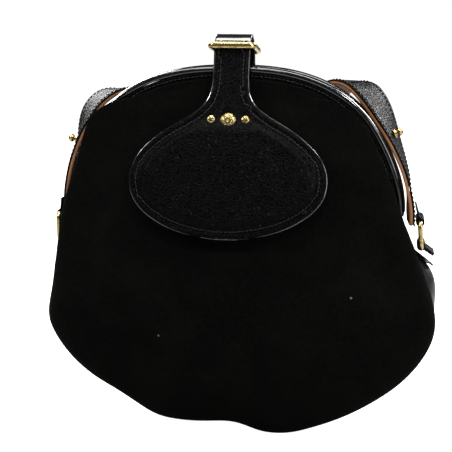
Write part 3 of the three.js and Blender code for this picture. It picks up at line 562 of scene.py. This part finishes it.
def centripetal(points, steps):
    # a smooth line through the points, as close steps
    first = [2 * a - b for a, b in zip(points[0], points[1])]
    last = [2 * a - b for a, b in zip(points[-1], points[-2])]
    held = [Vector(first)] + [Vector(p) for p in points] + [Vector(last)]
    line = []
    for p0, p1, p2, p3 in zip(held, held[1:], held[2:], held[3:]):
        t1 = (p1 - p0).length ** 0.5
        t2 = t1 + (p2 - p1).length ** 0.5
        t3 = t2 + (p3 - p2).length ** 0.5
        for k in range(steps):
            t = t1 + (t2 - t1) * k / steps
            a1 = p0.lerp(p1, t / t1)
            a2 = p1.lerp(p2, (t - t1) / (t2 - t1))
            a3 = p2.lerp(p3, (t - t2) / (t3 - t2))
            line.append(a1.lerp(a2, t / t2).lerp(a2.lerp(a3, (t - t1) / (t3 - t1)), (t - t1) / (t2 - t1)))
    return line + [held[-2]]


tabLine = centripetal(tabLook["run"], tabLook["runSteps"])
tabReach = [0.0]
for before, after in zip(tabLine, tabLine[1:]):
    tabReach.append(tabReach[-1] + (after - before).length)


def halfWidth(s):
    # half the width of the tab at a distance along it, smooth through the rows of its outline
    rows = tabLook["outline"]
    for (s0, h0), (s1, h1) in zip(rows, rows[1:]):
        if s <= s1:
            break
    i = rows.index((s0, h0))
    slope0 = (h1 - rows[max(i - 1, 0)][1]) / (s1 - rows[max(i - 1, 0)][0])
    ahead = rows[min(i + 2, len(rows) - 1)]
    slope1 = (ahead[1] - h0) / (ahead[0] - s0)
    f, run = (s - s0) / (s1 - s0), s1 - s0
    return ((2 * f ** 3 - 3 * f ** 2 + 1) * h0 + (f ** 3 - 2 * f ** 2 + f) * run * slope0
            + (3 * f ** 2 - 2 * f ** 3) * h1 + (f ** 3 - f ** 2) * run * slope1)


def onTab(s, x, lift):
    # a point of the tab, in metres
    want = min(s / tabLook["length"], 1) * tabReach[-1]
    k = min(range(1, len(tabReach)), key=lambda i: abs(tabReach[i] - want))
    k = k if tabReach[k] >= want or k == len(tabReach) - 1 else k + 1
    part = (want - tabReach[k - 1]) / (tabReach[k] - tabReach[k - 1])
    spot = tabLine[k - 1].lerp(tabLine[k], part)
    along = (tabLine[min(k + 1, len(tabLine) - 1)] - tabLine[max(k - 2, 0)]).normalized()
    rise = lift - tabLook["bow"] * x * x * eased(*tabLook["bowEnds"], s)
    return Vector((x, spot.x - along.y * rise, spot.y + along.x * rise)) * millimetre


def edgeRows(count):
    # the right cut edge as close rows of distance along and half width
    step = tabLook["edgeStep"]
    return tabLook["footEdge"] + [(k * step, halfWidth(k * step)) for k in range(count)]


tabEdge = edgeRows(int(tabLook["faceTo"] / tabLook["edgeStep"]) + tabLook["pastFace"])


def insideEdge(s, x):
    # how far a spot on the tab lies from its cut edge
    return min(math.hypot(s - es, abs(x) - eh) for es, eh in tabEdge if abs(es - s) < tabLook["searchWithin"])


def makeTabFace(look):
    rows, columns = look["rows"], look["columns"]
    points, faces = [], []
    crowd, spread = look["rowCrowd"], look["columnCrowd"]
    seed = Vector(look["creaseSeed"])
    for i in range(rows + 1):
        f = i / rows
        s = look["faceFrom"] + (look["faceTo"] - look["faceFrom"]) * (crowd * f * f + (1 - crowd) * f)
        half = max(halfWidth(s) - look["faceStep"], look["leastHalf"])
        ring = []
        for j in range(columns + 1):
            u = 2 * j / columns - 1
            x = half * (spread * math.sin(u * math.pi / 2) + (1 - spread) * u)
            inset = insideEdge(s, x) - look["faceStep"]
            out = 1 - min(inset / look["edgeRound"], 1)
            edge = 1 - math.sqrt(max(1 - out ** 2, 0)) if s < look["faceTo"] - look["edgeEnds"] else 0
            pad = eased(*look["padIn"], inset) * eased(*look["padTop"], s + look["padBow"] * x * x) * look["pad"]
            groove = look["groove"] * math.exp(-((inset - look["grooveIn"]) / look["grooveWide"]) ** 2)
            crease = look["creaseDeep"] * noise.noise(Vector((x, s, 0)) * look["creasePerMm"] + seed)
            crease *= eased(*look["creaseIn"], inset)
            ring.append(onTab(s, x, look["high"] + pad - groove - look["edgeRound"] * edge + crease))
        ring += [onTab(s, half * (1 - 2 * j / columns), look["low"]) for j in range(columns + 1)]
        points.append(ring)
    count = len(points[0])
    for i in range(rows):
        for j in range(count):
            k = (j + 1) % count
            faces.append((i * count + j, i * count + k, (i + 1) * count + k, (i + 1) * count + j))
    for row, flip in ((0, True), (rows, False)):
        for j in range(columns):
            cap = [row * count + j, row * count + j + 1, row * count + count - 2 - j, row * count + count - 1 - j]
            faces.append(cap[::-1] if flip else cap)
    mesh = bpy.data.meshes.new("tabFace")
    mesh.from_pydata([p for ring in points for p in ring], [], faces)
    b = bmesh.new()
    b.from_mesh(mesh)
    bmesh.ops.remove_doubles(b, verts=b.verts, dist=1e-6)
    bmesh.ops.recalc_face_normals(b, faces=b.faces)
    b.to_mesh(mesh)
    b.free()
    piece = newPiece("padded_tab_face", mesh, "crackled_leather")
    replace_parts(piece, "tab_face")
    return piece


tabFace = makeTabFace(tabLook)
print("tab face made")

# Stitches: a thread that dips into the leather at each hole, set along a line by geometry nodes


stitchLook = {"sunk": -1.1, "proud": 1.6, "jitter": 0.09, "seed": 5, "bends": 6, "sides": 6}


def stitchTree(look):
    tree = bpy.data.node_groups.new("stitchRow", "GeometryNodeTree")
    made = Tree(tree)
    sizes = {"Pitch": 0.0032, "Stitch Length": 0.0024, "Thread Radius": 0.00040, "Lift": 0.00055, "Slant": 0.0}
    tree.interface.new_socket("Line", in_out="INPUT", socket_type="NodeSocketGeometry")
    for name, value in sizes.items():
        tree.interface.new_socket(name, in_out="INPUT", socket_type="NodeSocketFloat").default_value = value
    tree.interface.new_socket("Thread", in_out="INPUT", socket_type="NodeSocketMaterial")
    tree.interface.new_socket("Stitches", in_out="OUTPUT", socket_type="NodeSocketGeometry")
    given = made.add("NodeGroupInput")
    half = given["Stitch Length"] * 0.5
    line = made.add("GeometryNodeMeshToCurve", {}, {"Mesh": given["Line"]})["Curve"]
    even = made.add("GeometryNodeResampleCurve", {"mode": "LENGTH"},
                    {"Curve": line, "Length": given["Pitch"]})["Curve"]
    up = made.add("GeometryNodeInputNamedAttribute", {"data_type": "FLOAT_VECTOR"}, {"Name": "up"})["Attribute"]
    along = made.add("GeometryNodeInputTangent")["Tangent"]
    sides = made.add("FunctionNodeAxesToRotation", {"primary_axis": "X", "secondary_axis": "Z"},
                     {"Primary Axis": along, "Secondary Axis": up})["Rotation"]
    span = {"Min": -look["jitter"], "Max": look["jitter"], "Seed": look["seed"]}
    jitter = made.add("FunctionNodeRandomValue", {"data_type": "FLOAT"}, span)["Value"]
    twist = made.add("ShaderNodeCombineXYZ", {}, {"Z": jitter + given["Slant"]})["Vector"]
    rotateBy = made.add("FunctionNodeEulerToRotation", {}, {"Euler": twist})["Rotation"]
    turned = made.add("FunctionNodeRotateRotation", {"rotation_space": "LOCAL"},
                      {"Rotation": sides, "Rotate By": rotateBy})["Rotation"]
    radius = given["Thread Radius"]
    start = made.add("ShaderNodeCombineXYZ", {}, {"X": half * -1, "Z": radius * look["sunk"]})["Vector"]
    middle = made.add("ShaderNodeCombineXYZ", {}, {"Z": given["Lift"] + radius * look["proud"]})["Vector"]
    end = made.add("ShaderNodeCombineXYZ", {}, {"X": half, "Z": radius * look["sunk"]})["Vector"]
    arc = made.add("GeometryNodeCurveQuadraticBezier", {},
                   {"Resolution": look["bends"], "Start": start, "Middle": middle, "End": end})["Curve"]
    profile = made.add("GeometryNodeCurvePrimitiveCircle", {},
                       {"Resolution": look["sides"], "Radius": radius})["Curve"]
    stitch = made.add("GeometryNodeCurveToMesh", {},
                      {"Curve": arc, "Profile Curve": profile, "Fill Caps": True})["Mesh"]
    rows = made.add("GeometryNodeInstanceOnPoints", {},
                    {"Points": even, "Instance": stitch, "Rotation": turned})["Instances"]
    solid = made.add("GeometryNodeRealizeInstances", {}, {"Geometry": rows})["Geometry"]
    waxed = made.add("GeometryNodeSetMaterial", {}, {"Geometry": solid, "Material": given["Thread"]})["Geometry"]
    made.add("NodeGroupOutput", {}, {"Stitches": waxed})
    return tree


stitchRow = stitchTree(stitchLook)


def makeStitches(name, lines, **sizes):
    # lines holds rows of (point, up) along each run of stitches
    mesh = bpy.data.meshes.new("stitchLine")
    spots, edges, ups = [], [], []
    for line in lines:
        first = len(spots)
        spots += [spot for spot, up in line]
        ups += [up for spot, up in line]
        edges += [(k, k + 1) for k in range(first, len(spots) - 1)]
    mesh.from_pydata(spots, edges, [])
    held = mesh.attributes.new("up", "FLOAT_VECTOR", "POINT")
    held.data.foreach_set("vector", [value for up in ups for value in up])
    carrier = bpy.data.objects.new("stitchCarrier", mesh)
    scene.collection.objects.link(carrier)
    rows = carrier.modifiers.new("stitchRow", "NODES")
    rows.node_group = stitchRow
    for item in stitchRow.interface.items_tree:
        if item.in_out == "INPUT" and item.name in sizes:
            rows[item.identifier] = sizes[item.name]
        if item.in_out == "INPUT" and item.name == "Thread":
            rows[item.identifier] = thread
    newPiece(name, flatten(carrier, name), "crackled_leather", thread)
    bpy.data.objects.remove(carrier)


def laidOn(piece, path):
    # the path pressed onto a piece, with the way that piece faces
    b = bmesh.new()
    b.from_mesh(piece.data)
    skin = BVHTree.FromBMesh(b)
    b.free()
    return [(spot, normal) for spot, normal, face, apart in map(skin.find_nearest, path)]


def tabSeam(inset, last):
    # the line a given way inside the edge of the tab, from one side of the neck round the plate to the other
    edge = edgeRows(int(last / tabLook["edgeStep"]) + 1)
    right = []
    for (s0, x0), (s, x), (s1, x1) in zip(edge, edge[1:], edge[2:]):
        long = math.hypot(s1 - s0, x1 - x0)
        inS, inX = s + inset * (x1 - x0) / long, x - inset * (s1 - s0) / long
        if inX > seamLook["offMiddle"] and insideEdge(inS, inX) > inset - seamLook["slack"]:
            right.append((inS, inX))
    return [(s, -x) for s, x in reversed(right)] + right


seamLook = {"tabInset": 5.3, "tabLast": 156, "tabLift": 6, "offMiddle": 0.5, "slack": 0.25,
            "bandInset": 7.7, "bandOut": 16, "bandTurn": 0.985,
            "strapInset": 3.2, "strapSharp": 50, "strapLeast": 20, "strapSteps": 6}
tabPitch = {"Pitch": 0.0033, "Stitch Length": 0.0026}
longPitch = {"Pitch": 0.0036, "Stitch Length": 0.0027}
tabRun = [onTab(s, x, seamLook["tabLift"]) for s, x in tabSeam(seamLook["tabInset"], seamLook["tabLast"])]
makeStitches("tab_stitches", [laidOn(tabFace, tabRun)], **tabPitch)
print("tab stitched")

# The same kind of row along the arched frames and both edges of the strap

archLook = {"half": 130, "rise": 116, "power": 2.45, "hinge": 171, "splay": 6, "splayBy": (0.56, 0.04), "steps": 160}


def onArch(angle, inset, y):
    power = 2 / archLook["power"]
    across = math.copysign(abs(math.sin(angle)) ** power, angle)
    up = abs(math.cos(angle)) ** power
    splay = archLook["splay"] * eased(*archLook["splayBy"], up) if across > 0 else 0
    x = (archLook["half"] - inset) * across + splay
    return Vector((x, y, archLook["hinge"] + (archLook["rise"] - inset) * up)) * millimetre


def bandRun(side):
    steps = archLook["steps"]
    turns = [math.pi * (k / steps - 0.5) * seamLook["bandTurn"] for k in range(steps + 1)]
    return [onArch(turn, seamLook["bandInset"], seamLook["bandOut"] * side) for turn in turns]


for bandNode, side in (("front_frame_band", -1), ("back_frame_band", 1)):
    makeStitches(bandNode + "_stitches", [laidOn(finePieces[bandNode], bandRun(side))], **longPitch)


def longEdges(nodeName, angle, least):
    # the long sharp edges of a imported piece, each as a chain of points
    b = bmesh.new()
    b.from_mesh(frame["nodes"][nodeName].data)
    bmesh.ops.remove_doubles(b, verts=b.verts, dist=weldWithin)
    sharp = {e for e in b.edges if len(e.link_faces) == 2 and e.calc_face_angle() > math.radians(angle)}
    ends = [v for v in b.verts if len(sharp.intersection(v.link_edges)) > 2]
    chains = []
    for end in ends:
        for edge in sharp.intersection(end.link_edges):
            chain, here, step = [end], edge.other_vert(end), edge
            while here not in ends:
                chain.append(here)
                step = [e for e in here.link_edges if e in sharp and e is not step][0]
                here = step.other_vert(here)
            chain.append(here)
            if len(chain) > least and end.co.x > here.co.x:
                chains.append([v.co.copy() for v in chain])
    b.free()
    return chains


def strapRuns(inset):
    # a line a little inside each edge of the strap's outer side
    lining = treeOf(["strap_lining"])
    chains = longEdges("strap_outer", seamLook["strapSharp"], seamLook["strapLeast"])
    chains.sort(key=lambda chain: lining.find_nearest(chain[len(chain) // 2])[3])
    first, second = chains[-2:]
    runs = []
    for near, far in ((first, second), (second, first)):
        runs.append([a + (b - a).normalized() * inset * millimetre for a, b in zip(near, far)])
    return [centripetal([tuple(spot) for spot in run], seamLook["strapSteps"]) for run in runs]


strapLines = [laidOn(finePieces["strap_outer"], run) for run in strapRuns(seamLook["strapInset"])]
makeStitches("strap_stitches", strapLines, **longPitch)
print("frames and strap stitched")

# Studs on the tab: a punched dome in the middle, a slotted screw head at each side

studLook = {
    "tab_stud_center": {"radius": 6.0, "rise": 2.2, "x": 0, "s": 94, "brim": 0.8, "dots": 9,
                        "dotRing": 3.1, "dot": 0.55, "deep": 0.42},
    "tab_stud_left": {"radius": 3.1, "rise": 1.7, "x": -13.4, "s": 95, "brim": 0.3, "slot": 0.15, "deep": 0.9},
    "tab_stud_right": {"radius": 3.1, "rise": 1.7, "x": 13.4, "s": 95, "brim": 0.3, "slot": 1.48, "deep": 0.9},
    "rings": 34, "spokes": 88, "lift": 4.36,
}
headLook = {"power": 2.4, "shoulder": 0.42, "brimHigh": 0.34, "lipFrom": 0.985, "lipHigh": 0.7,
            "slotWide": (0.52, 0.34), "slotEnds": 0.9, "dotFloor": 0.4, "pip": (1.0, 0.5),
            "lineDeep": 0.12, "lineAt": 4.5, "lineWide": (0.25, 0.1)}


def studHeight(r, turn, look):
    # how far the head stands up at radius r and angle turn, in mm
    inner, shoulder = look["radius"] - look["brim"], headLook["shoulder"]
    dome = headLook["brimHigh"]
    if r < inner:
        dome = shoulder + (1 - shoulder) * math.sqrt(max(1 - (r / inner) ** headLook["power"], 0))
    height = look["rise"] * dome * (1 if r < look["radius"] * headLook["lipFrom"] else headLook["lipHigh"])
    x, y = r * math.cos(turn), r * math.sin(turn)
    if "slot" in look:
        across = abs(y * math.cos(look["slot"]) - x * math.sin(look["slot"]))
        ends = eased(inner, inner * headLook["slotEnds"], r)
        return height - look["deep"] * eased(*headLook["slotWide"], across) * ends
    for k in range(look["dots"]):
        at = math.tau * k / look["dots"]
        apart = math.hypot(x - look["dotRing"] * math.cos(at), y - look["dotRing"] * math.sin(at))
        height -= look["deep"] * eased(look["dot"], look["dot"] * headLook["dotFloor"], apart)
    height -= look["deep"] * eased(*headLook["pip"], r)
    return height - headLook["lineDeep"] * eased(*headLook["lineWide"], abs(r - headLook["lineAt"]))


def makeStud(nodeName, look, rings, spokes, lift):
    foot = onTab(look["s"], look["x"], lift)
    ahead = (onTab(look["s"] + 1, look["x"], lift) - foot).normalized()
    out = Vector((1, 0, 0)).cross(ahead).normalized()
    b = bmesh.new()
    before = None
    middle = b.verts.new(foot + out * studHeight(0, 0, look) * millimetre)
    radii = [look["radius"] * (k / rings) for k in range(1, rings + 1)]
    for k, r in enumerate(radii + [look["radius"]]):
        row = []
        for j in range(spokes):
            turn = math.tau * j / spokes
            height = studHeight(r, turn, look) if k < rings else 0.0
            row.append(b.verts.new(foot + (Vector((1, 0, 0)) * r * math.cos(turn) + ahead * r * math.sin(turn)
                                           + out * height) * millimetre))
        for j in range(spokes):
            n = (j + 1) % spokes
            if before:
                b.faces.new((before[j], row[j], row[n], before[n]))
            else:
                b.faces.new((middle, row[j], row[n]))
        before = row
    b.faces.new(before)
    bmesh.ops.recalc_face_normals(b, faces=b.faces)
    mesh = bpy.data.meshes.new(nodeName)
    b.to_mesh(mesh)
    b.free()
    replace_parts(newPiece("turned_" + nodeName, mesh, "brass"), nodeName)


for studNode in ("tab_stud_center", "tab_stud_left", "tab_stud_right"):
    makeStud(studNode, studLook[studNode], studLook["rings"], studLook["spokes"], studLook["lift"])
print("studs made")

for nodeName, packed in frame["nodes"].items():
    slotName = [m["material_slot"] for m in frame["record"]["subparts"] if m["node"] == nodeName][0]
    for place in packed.material_slots:
        place.material = finishes[slotName]
